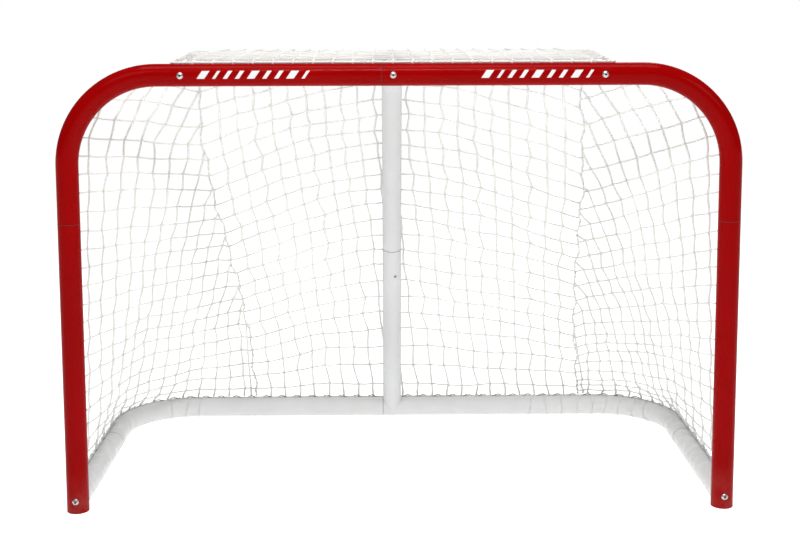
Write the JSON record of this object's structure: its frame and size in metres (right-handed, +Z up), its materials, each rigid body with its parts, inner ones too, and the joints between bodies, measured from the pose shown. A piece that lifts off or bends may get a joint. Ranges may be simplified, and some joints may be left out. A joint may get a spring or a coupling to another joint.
{
  "type": "hockey goal net",
  "caption": "Full-size knock-down hockey goal: red tubular posts and crossbar, white base, centre bar and top shelf, laced white mesh net open at the front.",
  "frame": {"origin": "centre of the footprint on the ground, under the goal", "axes": "+Z up; +X across the mouth to the right as seen by a player facing it; +Y from the mouth into the net"},
  "size_m": [1.8288, 0.8848, 1.2457],
  "materials": {
    "frame_red": "gloss powder coat, deep red",
    "frame_white": "gloss powder coat, white",
    "fastener_steel": "zinc-plated, bright",
    "button_steel": "plain spring steel, dull",
    "plug_plastic": "matt moulded plastic",
    "cord": "braided white cord",
    "net_twine": "knotless white twine"
  },
  "bodies": {
    "frame": {"left_corner_tube": "frame_red", "right_corner_tube": "frame_red", "left_post_tube": "frame_red", "right_post_tube": "frame_red", "left_side_rail": "frame_white", "right_side_rail": "frame_white", "left_rear_rail": "frame_white", "right_rear_rail": "frame_white", "centre_bar_upper": "frame_white", "centre_bar_lower": "frame_white", "top_shelf_bar": "frame_white", "crossbar_centre_bolt": "fastener_steel", "shelf_bolts": "fastener_steel", "foot_bolts": "fastener_steel", "base_centre_bolt": "fastener_steel", "centre_bar_insert": "fastener_steel", "shelf_bar_inserts": "fastener_steel", "side_rail_inserts": "fastener_steel", "centre_bar_foot_insert": "fastener_steel", "foot_plugs": "plug_plastic", "snap_spring": "button_steel", "left_post_cord": "cord", "right_post_cord": "cord", "crossbar_cord": "cord", "net_hooks": "frame_white", "base_hem_cords": "cord", "base_hooks": "frame_white", "net_left_panel": "net_twine", "net_right_panel": "net_twine", "net_back_panel": "net_twine", "net_top_panel": "net_twine", "left_net_seam": "net_twine", "right_net_seam": "net_twine"},
    "button": {"snap_button": "button_steel"}
  },
  "joints": [
    {"name": "snap_button_press", "type": "slide", "parent": "frame", "child": "button", "axis": [-0.342, 0.8926, 0.2937], "range_m": [0, 0.0052], "stiffness_N_per_m": 900, "springref_m": -0.002, "deforming": ["snap_spring"]}
  ]
}
